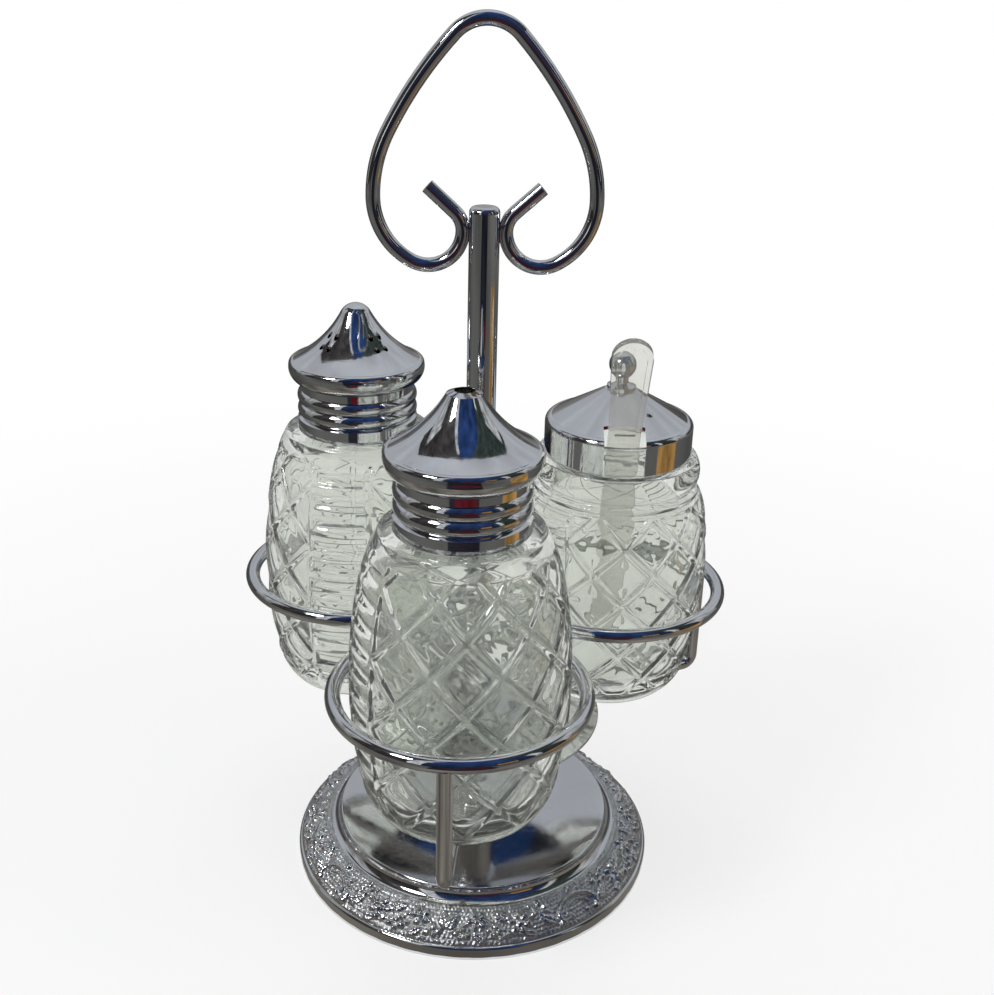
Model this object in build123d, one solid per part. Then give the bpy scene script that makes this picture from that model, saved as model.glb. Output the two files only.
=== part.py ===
from build123d import *
import math
import os

# Revolving cruet stand: a round embossed foot, a centre post with a heart-shaped wire handle,
# and a carousel of three wire rings that carry a pepper shaker, a salt shaker and a mustard pot.
# Millimetres, +Z up. The origin is on the post's axis at the height of the table,
# and -Y is the front, where the pepper shaker stands.

# ---- driving dimensions ----

# foot: one pressed sheet with a raised plateau
sheet = 0.9
foot_radius = 46.0
rim_height = 3.4
rim_round = 0.8
rim_lip = 2.6
band_inner_radius = 37.3
band_height = 8.4
band_crown = 0.5
plateau_radius = 35.0
plateau_height = 12.0
plateau_round = 0.6
cove_depth = 0.5

# post and what clamps it to the foot
post_radius = 3.4
post_top = 168.0
post_round = 1.3
stud_radius = 2.5
stud_clearance = 0.15
stud_tail = 1.5
washer_radius = 5.5
washer_thickness = 1.0
nut_width = 8.0
nut_height = 4.0

# parts threaded over the post
sleeve_wall = 1.8
sleeve_height = 23.7
collar_wall = 2.2
collar_height = 4.0
hub_wall = 2.8
hub_height = 24.5
hub_below_plate = 4.5
running_fit = 0.08
fixed_fit = 0.05
end_play = 0.1

# carousel
plate_radius = 31.5
plate_thickness = 0.9
wire_radius = 1.75
strut_bend = 2.6
weld_sink = 0.3
weld_overlap = 0.8
ring_above_jar_foot = 27.6
ring_clearance = 1.85
ring_to_hub_gap = 1.5
ring_count = 3
front_jar_azimuth = -94.5

# heart handle
handle_wire_radius = 1.6
handle_half_width = 24.2
handle_widest_above_post = 1.5
handle_side_radius = 30.0
handle_side_turn = 27.0
handle_shoulder_radius = 88.0
handle_shoulder_turn = 16.0
handle_lobe_radius = 15.5
handle_lobe_turn = 62.0
handle_end_radius = 5.5
handle_end_turn = 48.0
handle_end_length = 8.0

# glass of both shakers, heights above the jar's own foot
belly_radius = 24.4
shaker_belly_height = 34.2
shaker_foot_radius = 18.6
shaker_hip_radius = 22.3
shaker_hip_height = 7.5
shaker_chest_radius = 21.8
shaker_chest_height = 56.2
shaker_shoulder_radius = 17.6
shaker_shoulder_height = 67.4
shaker_neck_height = 11.0
shaker_wall = 2.6
shaker_neck_wall = 2.0
jar_floor = 5.0
jar_seat_gap = 0.3

# shaker caps, heights above the cap's lower edge
cap_sheet = 0.5
cap_radius = 14.7
cap_clearance = 0.35
cap_seat_gap = 0.3
cap_band = 3.0
cap_groove = 0.8
cap_groove_lead = 0.5
cap_ridge_pitch = 3.3
cap_ridge_count = 2
brim_radius = 16.6
brim_height = 16.3
brim_round = 1.2
brim_roll = 4.4
bell_middle_radius = 7.9
bell_middle_height = 23.2
bell_top_radius = 3.7
bell_top_height = 28.9
spout_rim_height = 29.5
pepper_hole_radius = 2.1
salt_dome_height = 31.2
salt_hole_radius = 0.65
salt_hole_circle = 8.2
salt_hole_pitch = 2.5
salt_hole_groups = 4
salt_first_group = 45.0

# mustard pot, heights above its own foot
pot_belly_radius = 24.2
pot_belly_height = 32.2
pot_chest_radius = 23.0
pot_chest_height = 49.2
pot_foot_radius = 14.0
pot_hip_radius = 21.3
pot_hip_height = 8.5
pot_shoulder_radius = 19.7
pot_shoulder_height = 57.5
pot_bead_radius = 20.7
pot_bead_height = 6.6
pot_neck_radius = 17.0
pot_neck_height = 7.0
pot_wall = 2.6
pot_neck_wall = 2.2

# mustard lid, its knob and the spoon
lid_sheet = 0.6
lid_clearance = 0.6
lid_seat_gap = 0.3
lid_side_height = 7.4
lid_round = 1.6
lid_top_height = 16.2
lid_top_radius = 4.0
notch_width = 9.8
notch_depth = 5.6
knob_flange_radius = 3.5
knob_flange_height = 1.0
knob_neck_radius = 1.6
knob_ball_radius = 3.3
knob_ball_height = 6.2
knob_stud_radius = 1.0
knob_stud_length = 1.6
spoon_azimuth = -90.0
spoon_tilt = 16.7
spoon_length = 97.3
spoon_thickness = 2.0
spoon_paddle_width = 9.4
spoon_stem_width = 7.5
spoon_paddle_length = 26.0
spoon_bowl_width = 8.4
spoon_bowl_length = 15.0
spoon_clearance = 0.3
spoon_rim = 1.3
spoon_recess = 0.8
dish_radius = 16.0
dish_depth = 0.9

# ---- sizes that follow from them ----

sleeve_radius = post_radius + sleeve_wall
collar_radius = post_radius + collar_wall
hub_radius = post_radius + hub_wall
ring_radius = belly_radius + ring_clearance + wire_radius
jar_circle = hub_radius + ring_to_hub_gap + wire_radius + ring_radius
strut_circle = jar_circle + ring_radius

hub_bottom = plateau_height + sleeve_height + end_play
plate_bottom = hub_bottom + hub_below_plate
plate_top = plate_bottom + plate_thickness
arm_height = plate_bottom - wire_radius + weld_sink
jar_foot = plate_top + jar_seat_gap
ring_height = jar_foot + ring_above_jar_foot
collar_bottom = hub_bottom + hub_height + end_play

neck_radius = cap_radius - cap_groove - cap_sheet - cap_clearance
cap_bottom = jar_foot + shaker_shoulder_height + cap_seat_gap
pot_ledge = pot_shoulder_height + pot_bead_height
pot_mouth = pot_ledge + pot_neck_height
lid_bottom = jar_foot + pot_ledge + lid_seat_gap
lid_radius = pot_neck_radius + lid_clearance + lid_sheet
handle_height = post_top + handle_widest_above_post

jar_azimuths = [front_jar_azimuth + n * 360 / ring_count for n in range(ring_count)]
pepper_azimuth, mustard_azimuth, salt_azimuth = jar_azimuths


def jar_place(azimuth, height=0.0):
    """A point on the axis of the jar that stands at an azimuth of the carousel."""
    angle = math.radians(azimuth)
    return Pos(jar_circle * math.cos(angle), jar_circle * math.sin(angle), height)


def turned(edges):
    """The solid that a closed half outline of (radius, height) sweeps about the Z axis."""
    return revolve(Plane.XZ * make_face(edges), Axis.Z)


def rod(radius, bottom, top):
    """An upright cylinder on the Z axis."""
    return Pos(0, 0, bottom) * Cylinder(radius, top - bottom, align=(Align.CENTER, Align.CENTER, Align.MIN))


def tube(outer, inner, bottom, top):
    """An upright tube on the Z axis."""
    return rod(outer, bottom, top) - rod(inner, bottom, top)


# ---- foot ----


def foot_form(inset):
    """The filled form of the foot, or of the hollow under it, one sheet thickness smaller."""
    side = foot_radius - inset
    rim = rim_height - inset
    band = (band_inner_radius - inset, band_height - inset)
    edge = plateau_radius - inset
    top = plateau_height - inset
    soft = rim_round * (1 - math.sqrt(0.5))
    level = plateau_round * (1 - math.sqrt(0.5))
    band_start = (side - rim_round, rim)
    crown = ((band_start[0] + band[0]) / 2 + band_crown, (band_start[1] + band[1]) / 2 + band_crown)
    cove_end = (edge, top - plateau_round)
    cove = ((band[0] + edge) / 2 - cove_depth, (band[1] + cove_end[1]) / 2 - cove_depth)
    return turned(
        Line((0, 0), (side, 0))
        + Line((side, 0), (side, rim - rim_round))
        + ThreePointArc((side, rim - rim_round), (side - soft, rim - soft), band_start)
        + ThreePointArc(band_start, crown, band)
        + ThreePointArc(band, cove, cove_end)
        + ThreePointArc(cove_end, (edge - level, top - level), (edge - plateau_round, top))
        + Line((edge - plateau_round, top), (0, top))
        + Line((0, top), (0, 0))
    )


def base_plate():
    shell = foot_form(0) - foot_form(sheet)
    lip = tube(foot_radius - sheet / 2, foot_radius - rim_lip, 0, sheet)
    hole = rod(stud_radius + stud_clearance, 0, plateau_height)
    return shell + lip - hole


def post():
    shaft = rod(post_radius, plateau_height, post_top)
    shaft = fillet(shaft.edges().group_by(Axis.Z)[-1], post_round)
    stud_end = plateau_height - sheet - washer_thickness - nut_height - stud_tail
    return shaft + rod(stud_radius, stud_end, plateau_height)


def base_washer():
    top = plateau_height - sheet
    return tube(washer_radius, stud_radius + stud_clearance, top - washer_thickness, top)


def base_nut():
    top = plateau_height - sheet - washer_thickness
    corner_radius = nut_width / math.sqrt(3)
    block = extrude(Pos(0, 0, top - nut_height) * RegularPolygon(corner_radius, 6), nut_height)
    return block - rod(stud_radius + fixed_fit, top - nut_height, top)


def support_sleeve():
    return tube(sleeve_radius, post_radius + fixed_fit, plateau_height, plateau_height + sleeve_height)


def retaining_collar():
    collar = tube(collar_radius, post_radius + fixed_fit, collar_bottom, collar_bottom + collar_height)
    return chamfer(collar.edges().group_by(Axis.Z)[-1].sort_by(SortBy.RADIUS)[-1], collar_wall / 3)


def handle_half():
    """The right half of the heart, from the apex down to the cut end beside the post."""
    side_turn = math.radians(handle_side_turn)
    whole_turn = math.radians(handle_side_turn + handle_shoulder_turn)
    lobe_turn = math.radians(handle_lobe_turn)

    def on_arc(center, radius, angle):
        return (center[0] + radius * math.cos(angle), center[1] + radius * math.sin(angle))

    widest = (handle_half_width, handle_height)
    side = (widest[0] - handle_side_radius, widest[1])
    side_end = on_arc(side, handle_side_radius, side_turn)
    shoulder = on_arc(side_end, -handle_shoulder_radius, side_turn)
    shoulder_end = on_arc(shoulder, handle_shoulder_radius, whole_turn)
    apex_radius = shoulder_end[0] / math.cos(whole_turn)
    apex = on_arc(shoulder_end, -apex_radius, whole_turn)
    lobe = (widest[0] - handle_lobe_radius, widest[1])
    lobe_end = on_arc(lobe, handle_lobe_radius, -lobe_turn)
    touch = post_radius + handle_wire_radius - weld_sink
    curl_radius = (lobe_end[0] - touch) / (1 + math.cos(lobe_turn))
    curl = on_arc(lobe_end, -curl_radius, -lobe_turn)
    turned_in = on_arc(curl, curl_radius, math.pi)
    end = (turned_in[0] + handle_end_radius, turned_in[1])
    end_angle = math.pi - math.radians(handle_end_turn)
    end_start = on_arc(end, handle_end_radius, end_angle)
    tip = on_arc(end_start, handle_end_length, end_angle - math.pi / 2)
    return (
        ThreePointArc((0, apex[1] + apex_radius), on_arc(apex, apex_radius, (math.pi / 2 + whole_turn) / 2), shoulder_end)
        + ThreePointArc(shoulder_end, on_arc(shoulder, handle_shoulder_radius, (side_turn + whole_turn) / 2), side_end)
        + ThreePointArc(side_end, on_arc(side, handle_side_radius, side_turn / 2), widest)
        + ThreePointArc(widest, on_arc(lobe, handle_lobe_radius, -lobe_turn / 2), lobe_end)
        + ThreePointArc(lobe_end, on_arc(curl, curl_radius, -(math.pi + lobe_turn) / 2), turned_in)
        + ThreePointArc(turned_in, on_arc(end, handle_end_radius, (math.pi + end_angle) / 2), end_start)
        + Line(end_start, tip)
    )


def handle_wire():
    """One wire bent into a heart, cut where its two lobes are welded to the post."""
    half = Plane.XZ * handle_half()
    apex = half.edges().sort_by(Axis.Z)[-1] @ 0
    section = Plane(origin=apex, z_dir=(1, 0, 0)) * Circle(handle_wire_radius)
    right = sweep(section, path=Wire(half.edges()))
    whole = right + mirror(right, Plane.YZ)
    return whole - rod(post_radius, plateau_height, post_top)


# ---- carousel ----


def carousel_plate():
    plate = tube(plate_radius, hub_radius, plate_bottom, plate_top)
    rims = plate.edges().filter_by(GeomType.CIRCLE).sort_by(SortBy.RADIUS)[-2:]
    return fillet(rims, plate_thickness / 3)


def carousel_hub():
    return tube(hub_radius, post_radius + running_fit, hub_bottom, hub_bottom + hub_height)


def ring_solid(azimuth):
    return jar_place(azimuth, ring_height) * Torus(ring_radius, wire_radius)


def cradle(azimuth):
    """The wire under a jar: an arm from the hub under the plate, then a strut up to the ring."""
    corner = strut_circle - strut_bend
    inner = (hub_radius - weld_overlap, arm_height)
    bend_end = (strut_circle, arm_height + strut_bend)
    top = (strut_circle, ring_height - weld_overlap)
    soft = strut_bend * math.sqrt(0.5)
    middle = (corner + soft, arm_height + strut_bend - soft)
    path = Plane.XZ * (
        Line(inner, (corner, arm_height))
        + ThreePointArc((corner, arm_height), middle, bend_end)
        + Line(bend_end, top)
    )
    section = Plane(origin=path @ 0, z_dir=(1, 0, 0)) * Circle(wire_radius)
    wire = sweep(section, path=Wire(path.edges()))
    wire = wire - rod(hub_radius, hub_bottom, hub_bottom + hub_height)
    wire = wire - rod(plate_radius, plate_bottom, plate_top)
    return Rot(0, 0, azimuth) * wire - ring_solid(azimuth)


# ---- glass ----


def jar_side(foot, hip, belly, chest, shoulder):
    """The curved side of a jar, upwards from its foot: three arcs that run smoothly into each other."""
    side = ThreePointArc(hip, belly, chest)
    foot_arc = TangentArc(hip, foot, tangent=-(side % 0))
    shoulder_arc = TangentArc(chest, shoulder, tangent=side % 1)
    return foot_arc + side + shoulder_arc


def jar(foot, hip, belly, chest, shoulder, wall, collar, neck_radius, neck_wall, mouth):
    """A hollow jar with its foot at height 0. The collar is the edges from the shoulder to the neck."""
    bore = neck_radius - neck_wall
    neck_start = (neck_radius, collar[-1].bounding_box().max.Y)
    outside = Line((0, 0), foot) + jar_side(foot, hip, belly, chest, shoulder)
    for edge in collar:
        outside = outside + edge
    outside = outside + Line(neck_start, (neck_radius, mouth))
    outside = outside + Line((neck_radius, mouth), (0, mouth)) + Line((0, mouth), (0, 0))
    inner_foot = (foot[0] - wall, jar_floor)
    inner_hip = (hip[0] - wall, hip[1] + wall)
    inner_belly = (belly[0] - wall, belly[1])
    inner_chest = (chest[0] - wall, chest[1] - wall / 2)
    bore_start = (bore, shoulder[1] - wall)
    inside = Line((0, jar_floor), inner_foot)
    inside = inside + jar_side(inner_foot, inner_hip, inner_belly, inner_chest, bore_start)
    inside = inside + Line(bore_start, (bore, mouth)) + Line((bore, mouth), (0, mouth))
    inside = inside + Line((0, mouth), (0, jar_floor))
    return turned(outside) - turned(inside)


def shaker_glass(azimuth):
    shoulder = (shaker_shoulder_radius, shaker_shoulder_height)
    body = jar(
        foot=(shaker_foot_radius, 0),
        hip=(shaker_hip_radius, shaker_hip_height),
        belly=(belly_radius, shaker_belly_height),
        chest=(shaker_chest_radius, shaker_chest_height),
        shoulder=shoulder,
        wall=shaker_wall,
        collar=[Line(shoulder, (neck_radius, shaker_shoulder_height))],
        neck_radius=neck_radius,
        neck_wall=shaker_neck_wall,
        mouth=shaker_shoulder_height + shaker_neck_height,
    )
    return jar_place(azimuth, jar_foot) * body


def mustard_glass():
    shoulder = (pot_shoulder_radius, pot_shoulder_height)
    bead_middle = (pot_bead_radius, pot_shoulder_height + pot_bead_height / 2)
    bead_end = (pot_shoulder_radius, pot_ledge)
    body = jar(
        foot=(pot_foot_radius, 0),
        hip=(pot_hip_radius, pot_hip_height),
        belly=(pot_belly_radius, pot_belly_height),
        chest=(pot_chest_radius, pot_chest_height),
        shoulder=shoulder,
        wall=pot_wall,
        collar=[ThreePointArc(shoulder, bead_middle, bead_end), Line(bead_end, (pot_neck_radius, pot_ledge))],
        neck_radius=pot_neck_radius,
        neck_wall=pot_neck_wall,
        mouth=pot_mouth,
    )
    return jar_place(mustard_azimuth, jar_foot) * body


# ---- shaker caps ----


def cap_form(inset, pierced):
    """The filled form of a shaker cap, or of its hollow, one sheet thickness smaller."""
    side = cap_radius - inset
    groove = side - cap_groove
    brim = brim_radius - inset
    drop = inset / 2
    first = cap_band + cap_groove_lead
    edges = Line((0, 0), (side, 0)) + Line((side, 0), (side, cap_band)) + Line((side, cap_band), (groove, first))
    for n in range(cap_ridge_count):
        low = first + n * cap_ridge_pitch
        high = low + cap_ridge_pitch
        edges = edges + ThreePointArc((groove, low), (side, (low + high) / 2), (groove, high))
    waist = first + cap_ridge_count * cap_ridge_pitch
    quarter = math.sqrt(0.5)
    roll = (brim - groove, brim_roll - inset)
    roll_low = (groove, brim_height - roll[1])
    roll_middle = (groove + roll[0] * quarter, brim_height - roll[1] * quarter)
    edge_round = (brim_round, brim_round - drop)
    edge_middle = (brim - edge_round[0] * (1 - quarter), brim_height + edge_round[1] * quarter)
    brim_high = (brim - edge_round[0], brim_height + edge_round[1])
    bell_top = (bell_top_radius - inset, bell_top_height - drop)
    bell_middle = (bell_middle_radius - inset, bell_middle_height - drop)
    edges = edges + Line((groove, waist), roll_low)
    edges = edges + ThreePointArc(roll_low, roll_middle, (brim, brim_height))
    edges = edges + ThreePointArc((brim, brim_height), edge_middle, brim_high)
    edges = edges + ThreePointArc(brim_high, bell_middle, bell_top)
    if pierced:
        summit = spout_rim_height - inset
        edges = edges + Line(bell_top, (pepper_hole_radius, summit)) + Line((pepper_hole_radius, summit), (0, summit))
    else:
        summit = salt_dome_height - inset
        edges = edges + TangentArc((0, summit), bell_top, tangent=(1, 0))
    return turned(edges + Line((0, summit), (0, 0)))


def pepper_cap():
    shell = cap_form(0, True) - cap_form(cap_sheet, True)
    hole = rod(pepper_hole_radius, bell_middle_height, salt_dome_height)
    return jar_place(pepper_azimuth, cap_bottom) * (shell - hole)


def salt_cap():
    shell = cap_form(0, False) - cap_form(cap_sheet, False)
    drill = rod(salt_hole_radius, brim_height, salt_dome_height)
    drills = []
    for group in range(salt_hole_groups):
        for along in (-0.5, 0.5):
            for across in (-0.5, 0.5):
                place = Pos(salt_hole_circle + along * salt_hole_pitch, across * salt_hole_pitch, 0)
                drills.append(Rot(0, 0, salt_first_group + group * 360 / salt_hole_groups) * place * drill)
    return jar_place(salt_azimuth, cap_bottom) * (shell - drills)


# ---- mustard lid, knob and spoon ----


def lid_form(inset):
    """The filled form of the lid, or of its hollow, one sheet thickness smaller."""
    side = lid_radius - inset
    cone_foot = (side - lid_round, lid_side_height + lid_round - inset)
    corner = (side - lid_round * (1 - math.sqrt(0.5)), lid_side_height + lid_round * math.sqrt(0.5) - inset)
    top = lid_top_height - inset
    return turned(
        Line((0, 0), (side, 0))
        + Line((side, 0), (side, lid_side_height - inset))
        + ThreePointArc((side, lid_side_height - inset), corner, cone_foot)
        + Line(cone_foot, (lid_top_radius, top))
        + Line((lid_top_radius, top), (0, top))
        + Line((0, top), (0, 0))
    )


def mustard_lid():
    shell = lid_form(0) - lid_form(lid_sheet)
    notch_inner = lid_radius - notch_depth
    notch = Pos(notch_inner, 0, 0) * Box(
        notch_depth * 2, notch_width, lid_top_height, align=(Align.MIN, Align.CENTER, Align.MIN)
    )
    hole = rod(knob_stud_radius + fixed_fit, 0, lid_top_height)
    lid = shell - Rot(0, 0, spoon_azimuth) * notch - hole
    return jar_place(mustard_azimuth, lid_bottom) * lid


def lid_knob():
    ball_foot = knob_ball_height - math.sqrt(knob_ball_radius**2 - knob_neck_radius**2)
    neck_foot = knob_flange_height + knob_neck_radius / 2
    outline = (
        Line((0, -knob_stud_length), (knob_stud_radius, -knob_stud_length))
        + Line((knob_stud_radius, -knob_stud_length), (knob_stud_radius, 0))
        + Line((knob_stud_radius, 0), (knob_flange_radius, 0))
        + Line((knob_flange_radius, 0), (knob_flange_radius, knob_flange_height))
        + Line((knob_flange_radius, knob_flange_height), (knob_neck_radius, neck_foot))
        + Line((knob_neck_radius, neck_foot), (knob_neck_radius, ball_foot))
        + ThreePointArc(
            (knob_neck_radius, ball_foot),
            (knob_ball_radius, knob_ball_height),
            (0, knob_ball_height + knob_ball_radius),
        )
        + Line((0, knob_ball_height + knob_ball_radius), (0, -knob_stud_length))
    )
    return jar_place(mustard_azimuth, lid_bottom + lid_top_height) * turned(outline)


def spoon_blank(paddle_top, inset, thickness):
    """The spoon's flat outline, extruded. It runs along Y from the bowl's tip at 0 to the paddle's top."""
    paddle = spoon_paddle_width / 2 - inset
    stem = spoon_stem_width / 2 - inset
    bowl = spoon_bowl_width / 2 - inset
    top = paddle_top - inset
    low = paddle_top - spoon_paddle_length
    bowl_top = spoon_bowl_length
    right = (
        ThreePointArc((0, top), (paddle * math.sqrt(0.5), top - paddle * (1 - math.sqrt(0.5))), (paddle, top - paddle))
        + Line((paddle, top - paddle), (stem, low))
        + Line((stem, low), (stem, bowl_top))
        + Line((stem, bowl_top), (bowl, bowl_top - bowl))
        + Line((bowl, bowl_top - bowl), (bowl, bowl + inset))
        + ThreePointArc((bowl, bowl + inset), (bowl * math.sqrt(0.5), bowl * (1 - math.sqrt(0.5)) + inset), (0, inset))
    )
    return extrude(make_face(right + mirror(right, Plane.YZ)), thickness)


def mustard_spoon():
    """A flat moulded spoon. It leans on the pot's mouth, passes the lid's notch and stands on the floor."""
    blank = Pos(0, 0, -spoon_thickness / 2) * spoon_blank(spoon_length, 0, spoon_thickness)
    recess = Pos(0, 0, spoon_thickness / 2 - spoon_recess) * spoon_blank(spoon_length, spoon_rim, spoon_thickness)
    paddle_only = Pos(0, spoon_length - spoon_paddle_length, 0) * Box(
        spoon_paddle_width, spoon_paddle_length, spoon_thickness * 2, align=(Align.CENTER, Align.MIN, Align.CENTER)
    )
    dish = Pos(0, spoon_bowl_length / 2, spoon_thickness / 2 - dish_depth + dish_radius) * Sphere(dish_radius)
    spoon = blank - (recess & paddle_only) - dish
    tilt = math.radians(spoon_tilt)
    turn = math.radians(spoon_azimuth)
    outward = Vector(math.cos(turn), math.sin(turn), 0)
    up = Vector(0, 0, 1)
    along = up * math.cos(tilt) + outward * math.sin(tilt)
    facing = outward * math.cos(tilt) - up * math.sin(tilt)
    mouth_radius = pot_neck_radius - pot_neck_wall
    face = math.sqrt(mouth_radius**2 - (spoon_stem_width / 2) ** 2) - spoon_clearance
    center = face - spoon_thickness / 2 / math.cos(tilt)
    drop = pot_mouth - jar_floor - spoon_clearance
    below = drop / math.cos(tilt) - spoon_thickness / 2 * math.tan(tilt)
    mouth = jar_place(mustard_azimuth, jar_foot + pot_mouth).position + outward * center
    return Plane(origin=mouth - along * below, x_dir=along.cross(facing), z_dir=facing) * spoon


# ---- the assembly: one file for each piece ----

parts = {
    "base_plate": base_plate(),
    "base_washer": base_washer(),
    "base_nut": base_nut(),
    "center_post": post(),
    "support_sleeve": support_sleeve(),
    "retaining_collar": retaining_collar(),
    "handle_wire": handle_wire(),
    "carousel_plate": carousel_plate(),
    "carousel_hub": carousel_hub(),
    "pepper_ring": ring_solid(pepper_azimuth),
    "salt_ring": ring_solid(salt_azimuth),
    "mustard_ring": ring_solid(mustard_azimuth),
    "pepper_cradle": cradle(pepper_azimuth),
    "salt_cradle": cradle(salt_azimuth),
    "mustard_cradle": cradle(mustard_azimuth),
    "pepper_glass": shaker_glass(pepper_azimuth),
    "pepper_cap": pepper_cap(),
    "salt_glass": shaker_glass(salt_azimuth),
    "salt_cap": salt_cap(),
    "mustard_glass": mustard_glass(),
    "mustard_lid": mustard_lid(),
    "lid_knob": lid_knob(),
    "mustard_spoon": mustard_spoon(),
}

os.makedirs("parts", exist_ok=True)
for name, solid in parts.items():
    export_step(solid, f"parts/{name}.step")
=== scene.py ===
import math

import bpy
import numpy as np
from mathutils import Matrix, Vector


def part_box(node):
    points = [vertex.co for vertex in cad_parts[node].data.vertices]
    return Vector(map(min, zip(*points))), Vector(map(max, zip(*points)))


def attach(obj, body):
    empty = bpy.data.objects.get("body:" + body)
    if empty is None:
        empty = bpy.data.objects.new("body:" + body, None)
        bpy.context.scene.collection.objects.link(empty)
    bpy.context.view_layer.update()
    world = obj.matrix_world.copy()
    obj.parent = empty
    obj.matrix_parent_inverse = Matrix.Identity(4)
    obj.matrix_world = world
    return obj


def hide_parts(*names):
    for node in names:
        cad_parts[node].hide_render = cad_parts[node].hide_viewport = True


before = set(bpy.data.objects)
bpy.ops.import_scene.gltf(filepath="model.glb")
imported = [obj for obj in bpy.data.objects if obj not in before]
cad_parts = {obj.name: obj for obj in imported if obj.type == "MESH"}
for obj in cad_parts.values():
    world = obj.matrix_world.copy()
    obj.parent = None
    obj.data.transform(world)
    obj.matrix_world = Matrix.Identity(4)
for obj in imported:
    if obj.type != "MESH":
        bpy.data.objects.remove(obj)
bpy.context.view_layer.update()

# Looks for a revolving cruet stand: chrome on the wire, sheet and post, and pressed glass jars.
# Sizes of the object are in millimetres and every mesh is written in metres. The stage is in metres.

MM = 0.001
TURN = 2 * math.pi
SLACK = 0.01


# ---- profiles: lists of (radius, height) points ----


def line(points, start, end, step):
    """Adds evenly spaced points from start to end, the start left out."""
    count = max(1, round(math.dist(start, end) / step))
    for index in range(1, count + 1):
        share = index / count
        points.append((start[0] + (end[0] - start[0]) * share, start[1] + (end[1] - start[1]) * share))


def arc_points(center, radius, first, turn, step):
    """Points on a circle from an angle through a turn, the first left out."""
    count = max(2, round(abs(turn) * radius / step))
    angles = [first + turn * index / count for index in range(1, count + 1)]
    return [(center[0] + radius * math.cos(a), center[1] + radius * math.sin(a)) for a in angles]


def arc(start, middle, end, step):
    """Points of the arc through three points, the start left out."""
    (ax, ay), (bx, by), (cx, cy) = start, middle, end
    area = 2 * (ax * (by - cy) + bx * (cy - ay) + cx * (ay - by))
    a_square, b_square, c_square = ax * ax + ay * ay, bx * bx + by * by, cx * cx + cy * cy
    center_x = (a_square * (by - cy) + b_square * (cy - ay) + c_square * (ay - by)) / area
    center_y = (a_square * (cx - bx) + b_square * (ax - cx) + c_square * (bx - ax)) / area
    first = math.atan2(ay - center_y, ax - center_x)
    turn = (math.atan2(cy - center_y, cx - center_x) - first) % TURN
    if (math.atan2(by - center_y, bx - center_x) - first) % TURN > turn:
        turn -= TURN
    radius = math.hypot(ax - center_x, ay - center_y)
    return arc_points((center_x, center_y), radius, first, turn, step)


def tangent_arc(start, tangent, end, step):
    """Points of the arc that leaves start along a unit tangent and stops at end, the start left out."""
    side_x, side_y = -tangent[1], tangent[0]
    to_x, to_y = end[0] - start[0], end[1] - start[1]
    reach = (to_x * to_x + to_y * to_y) / (2 * (side_x * to_x + side_y * to_y))
    center = (start[0] + side_x * reach, start[1] + side_y * reach)
    first = math.atan2(start[1] - center[1], start[0] - center[0])
    last = math.atan2(end[1] - center[1], end[0] - center[0])
    turn = (last - first) % TURN if reach > 0 else -((first - last) % TURN)
    return arc_points(center, abs(reach), first, turn, step)


def direction(start, end):
    """Unit direction from one point to another."""
    length = math.dist(start, end)
    return ((end[0] - start[0]) / length, (end[1] - start[1]) / length)


# ---- meshes ----


def placed(name, data):
    """A new object in the scene."""
    made = bpy.data.objects.new(name, data)
    bpy.context.scene.collection.objects.link(made)
    return made


def smooth(value, low, high):
    """0 below low, 1 above high and a smooth step between."""
    share = np.clip((value - low) / (high - low), 0, 1)
    return share * share * (3 - 2 * share)


def outward(profile, closed):
    """Unit normals of a profile that has the outside on its right."""
    if closed:
        ahead, behind = np.roll(profile, -1, axis=0), np.roll(profile, 1, axis=0)
    else:
        ahead = np.vstack([profile[1:], profile[-1:]])
        behind = np.vstack([profile[:1], profile[:-1]])
    tangent = ahead - behind
    tangent /= np.hypot(tangent[:, 0], tangent[:, 1])[:, None]
    return np.stack([tangent[:, 1], -tangent[:, 0]], axis=1)


def turned(name, profile, center, segments, relief, closed=False):
    """A mesh turned about an upright axis at center, which keeps its relief as a point attribute.

    relief(angle, radius, height) says how far each point is pushed out of the smooth form.
    A profile that isn't closed starts and ends on the axis."""
    profile = np.array(profile, float)
    normal = outward(profile, closed)
    angle = np.tile(np.arange(segments) * TURN / segments, (len(profile), 1))
    radius = np.repeat(profile[:, :1], segments, axis=1)
    height = np.repeat(profile[:, 1:], segments, axis=1)
    shift = relief(angle, radius, height)
    radius = radius + normal[:, :1] * shift
    height = height + normal[:, 1:] * shift
    points = np.stack([radius * np.cos(angle), radius * np.sin(angle), height], axis=2) + center
    rings = slice(None) if closed else slice(1, -1)
    vertices = points[rings].reshape(-1, 3)
    index = np.arange(len(vertices)).reshape(-1, segments)
    across = np.roll(index, -1, axis=1)
    quads = np.stack([index, across, np.roll(across, -1, axis=0), np.roll(index, -1, axis=0)], axis=2)
    if not closed:
        quads = quads[:-1]
    faces = quads.reshape(-1, 4).tolist()
    if not closed:
        first_pole, last_pole = len(vertices), len(vertices) + 1
        vertices = np.vstack([vertices, points[0, 0], points[-1, 0]])
        faces += [[first_pole, b, a] for a, b in zip(index[0].tolist(), across[0].tolist())]
        faces += [[a, b, last_pole] for a, b in zip(index[-1].tolist(), across[-1].tolist())]
    mesh = bpy.data.meshes.new(name)
    mesh.from_pydata((vertices * MM).tolist(), [], faces)
    mesh.polygons.foreach_set("use_smooth", [True] * len(mesh.polygons))
    depth = mesh.attributes.new("relief", "FLOAT", "POINT")
    values = np.zeros(len(vertices), np.float32)
    values[: index.size] = shift[rings].reshape(-1)
    depth.data.foreach_set("value", values)
    mesh.update()
    return placed(name, mesh)


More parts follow.
